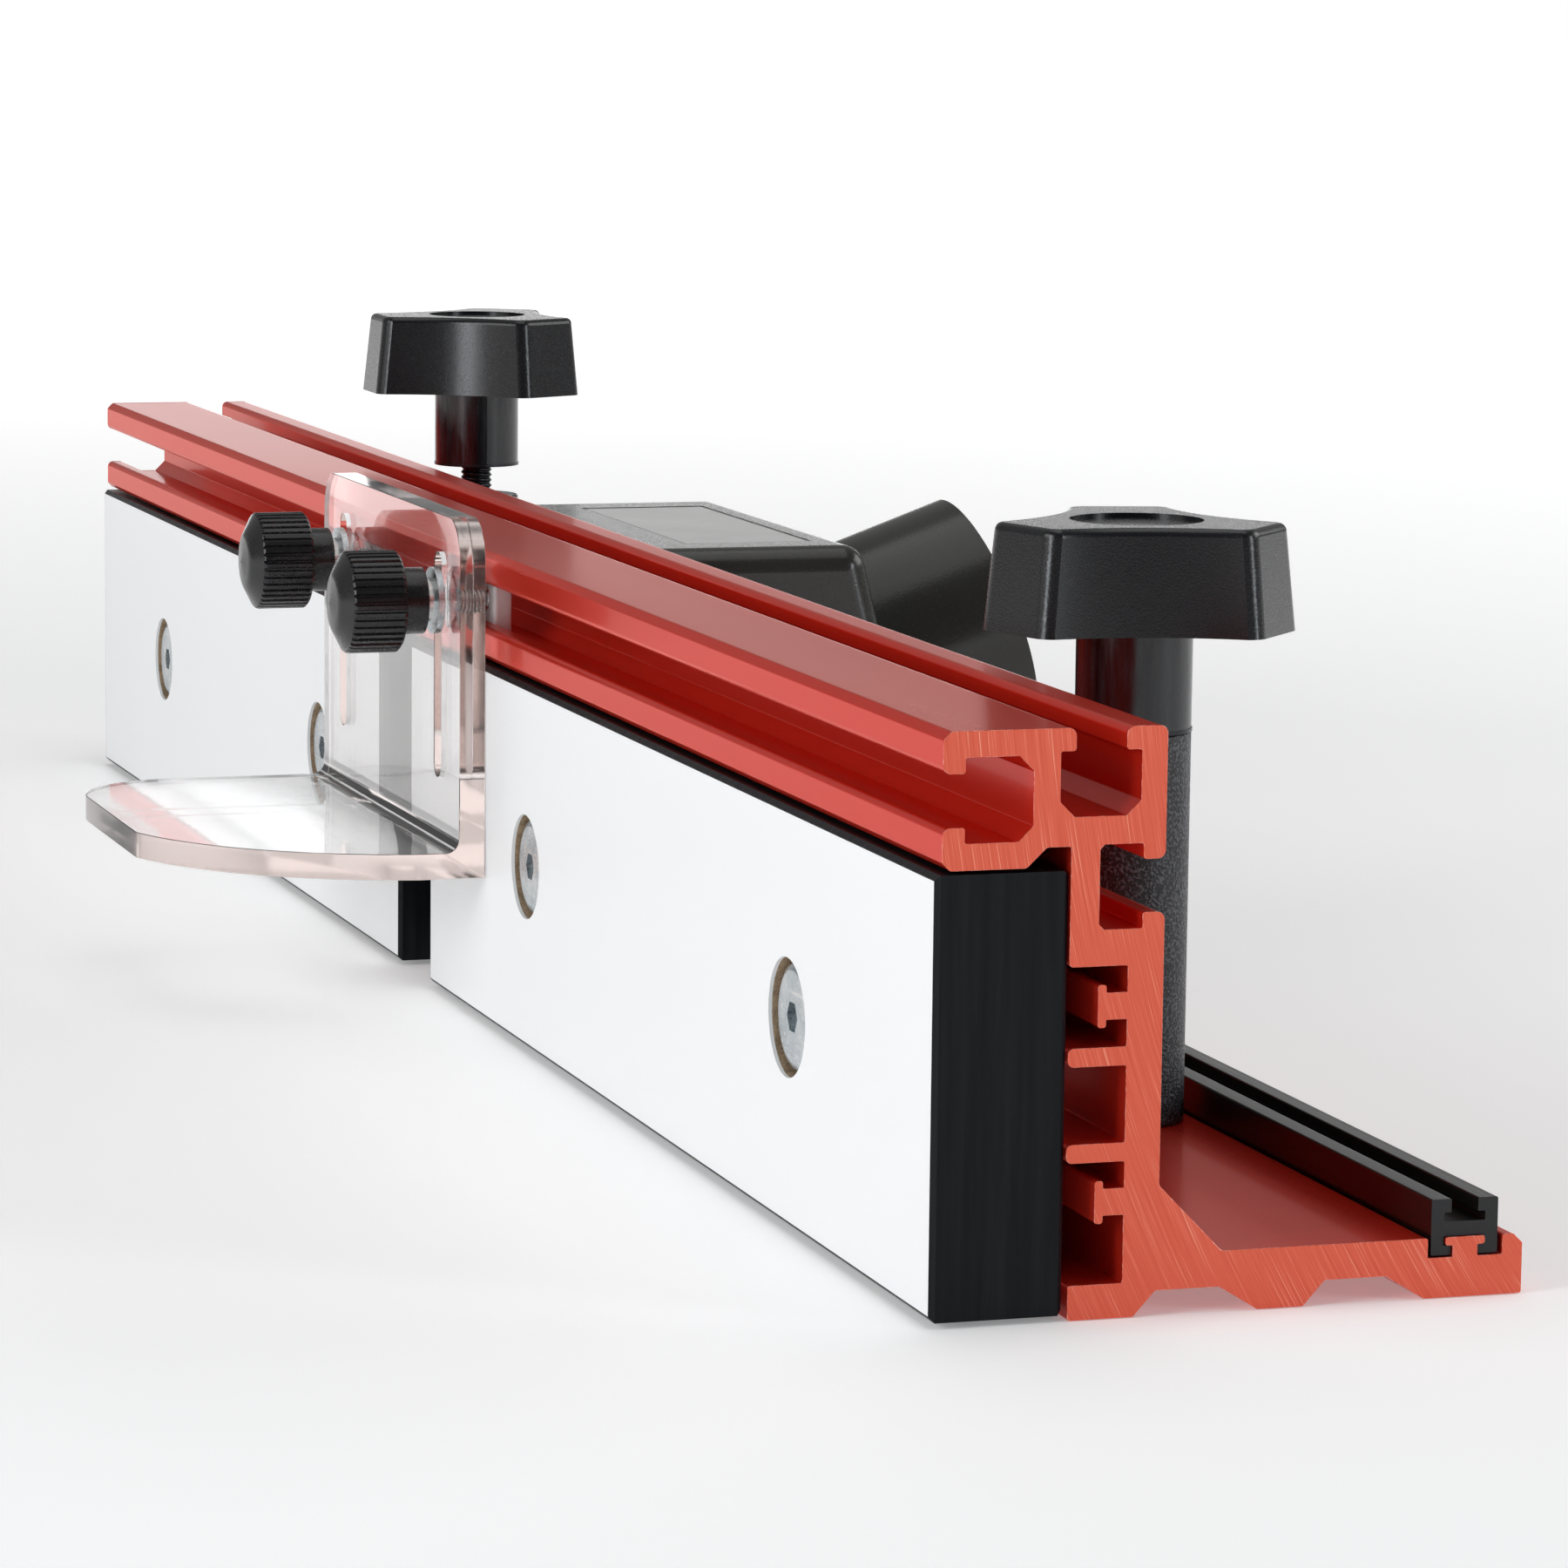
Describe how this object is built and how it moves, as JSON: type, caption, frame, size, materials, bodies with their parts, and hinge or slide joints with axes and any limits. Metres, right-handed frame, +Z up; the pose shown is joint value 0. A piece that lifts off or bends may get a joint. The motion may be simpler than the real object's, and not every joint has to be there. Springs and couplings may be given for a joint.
{
  "type": "router table fence",
  "caption": "Extruded aluminium router table fence with two sliding faces, clear bit guard, rear dust port, clamp knobs on tall sleeves and stored jointing packers.",
  "frame": {"origin": "middle of the bit line: the line along the fence where the plane of the faces' fronts meets the table", "axes": "+X along the fence towards the outfeed end whose packer lips are seen from the rear on the right, +Y from the faces to the rear, +Z up off the table"},
  "size_m": [0.813, 0.2395, 0.1509],
  "materials": {
    "anodised_aluminium": "satin red anodising",
    "white_laminate": "fine matte laminate",
    "fibreboard": "machined fibreboard",
    "black_plastic": "fine moulded grain",
    "sleeve_black": "rough speckled",
    "hood_plastic": "fine moulded grain",
    "label_film": "satin film",
    "clear_acrylic": "polished clear acrylic",
    "zinc_steel": "bright zinc plate",
    "dark_steel": "blackened, lightly oiled",
    "brass": "turned"
  },
  "bodies": {
    "fence": {"fence_body": "anodised_aluminium", "dust_hood": "hood_plastic", "dust_label": "label_film", "dust_outlet": "hood_plastic", "dust_hood_screws": "zinc_steel", "right_clamp_stud": "dark_steel", "left_clamp_stud": "dark_steel", "right_clamp_sleeve": "sleeve_black", "left_clamp_sleeve": "sleeve_black"},
    "right_face": {"right_face_core": "fibreboard", "right_face_front_laminate": "white_laminate", "right_face_back_laminate": "white_laminate", "right_face_edging": "black_plastic", "right_face_bolts": "zinc_steel", "right_face_washers": "zinc_steel", "right_face_nuts": "zinc_steel"},
    "right_packer": {"right_jointing_packer": "black_plastic"},
    "left_face": {"left_face_core": "fibreboard", "left_face_front_laminate": "white_laminate", "left_face_back_laminate": "white_laminate", "left_face_edging": "black_plastic", "left_face_bolts": "zinc_steel", "left_face_washers": "zinc_steel", "left_face_nuts": "zinc_steel"},
    "left_packer": {"left_jointing_packer": "black_plastic"},
    "guard_carriage": {"guard_tee_bolts": "zinc_steel", "guard_spacers": "zinc_steel"},
    "guard": {"guard_plate": "clear_acrylic"},
    "right_guard_washer_body": {"right_guard_washer": "zinc_steel"},
    "right_guard_knob_body": {"right_guard_knob": "black_plastic", "right_guard_knob_insert": "zinc_steel"},
    "right_clamp_washer_body": {"right_clamp_washer": "dark_steel"},
    "right_clamp_knob_body": {"right_clamp_knob": "black_plastic", "right_clamp_knob_insert": "brass"},
    "left_guard_washer_body": {"left_guard_washer": "zinc_steel"},
    "left_guard_knob_body": {"left_guard_knob": "black_plastic", "left_guard_knob_insert": "zinc_steel"},
    "left_clamp_washer_body": {"left_clamp_washer": "dark_steel"},
    "left_clamp_knob_body": {"left_clamp_knob": "black_plastic", "left_clamp_knob_insert": "brass"}
  },
  "joints": [
    {"name": "right_face_slide", "type": "slide", "parent": "fence", "child": "right_face", "axis": [1, 0, 0], "range_m": [-0.015, 0.04]},
    {"name": "right_packer_slide", "type": "slide", "parent": "fence", "child": "right_packer", "axis": [1, 0, 0], "range_m": [0, 0.4]},
    {"name": "left_face_slide", "type": "slide", "parent": "fence", "child": "left_face", "axis": [-1, 0, 0], "range_m": [-0.015, 0.04]},
    {"name": "left_packer_slide", "type": "slide", "parent": "fence", "child": "left_packer", "axis": [-1, 0, 0], "range_m": [0, 0.4]},
    {"name": "guard_carriage_slide", "type": "slide", "parent": "fence", "child": "guard_carriage", "axis": [1, 0, 0], "range_m": [-0.34, 0.34]},
    {"name": "guard_height_slide", "type": "slide", "parent": "guard_carriage", "child": "guard", "axis": [0, 0, 1], "range_m": [-0.008, 0.04]},
    {"name": "right_guard_washer_slide", "type": "slide", "parent": "guard_carriage", "child": "right_guard_washer_body", "axis": [0, -1, 0], "range_m": [0, 0.00301]},
    {"name": "right_guard_knob_turn", "type": "hinge", "parent": "right_guard_washer_body", "child": "right_guard_knob_body", "pos_m": [0.05, -0.0185, 0.1021], "axis": [0, -1, 0], "range_deg": [0, 1080]},
    {"name": "right_clamp_washer_slide", "type": "slide", "parent": "fence", "child": "right_clamp_washer_body", "axis": [0, 0, 1], "range_m": [0, 0.0143]},
    {"name": "right_clamp_knob_turn", "type": "hinge", "parent": "right_clamp_washer_body", "child": "right_clamp_knob_body", "pos_m": [0.278, 0.0886, 0.11], "axis": [0, 0, 1], "range_deg": [0, 3240]},
    {"name": "left_guard_washer_slide", "type": "slide", "parent": "guard_carriage", "child": "left_guard_washer_body", "axis": [0, -1, 0], "range_m": [0, 0.00301]},
    {"name": "left_guard_knob_turn", "type": "hinge", "parent": "left_guard_washer_body", "child": "left_guard_knob_body", "pos_m": [-0.05, -0.0185, 0.1021], "axis": [0, -1, 0], "range_deg": [0, 1080]},
    {"name": "left_clamp_washer_slide", "type": "slide", "parent": "fence", "child": "left_clamp_washer_body", "axis": [0, 0, 1], "range_m": [-0.0089, 0.0048]},
    {"name": "left_clamp_knob_turn", "type": "hinge", "parent": "left_clamp_washer_body", "child": "left_clamp_knob_body", "pos_m": [-0.278, 0.0886, 0.119], "axis": [0, 0, 1], "range_deg": [-2016, 1080]}
  ],
  "couplings": [
    {"joint": "right_guard_washer_slide", "follows": "right_guard_knob_turn", "m_per_rad": 0.00015915},
    {"joint": "right_clamp_washer_slide", "follows": "right_clamp_knob_turn", "m_per_rad": 0.00025266},
    {"joint": "left_guard_washer_slide", "follows": "left_guard_knob_turn", "m_per_rad": 0.00015915},
    {"joint": "left_clamp_washer_slide", "follows": "left_clamp_knob_turn", "m_per_rad": 0.00025266}
  ]
}
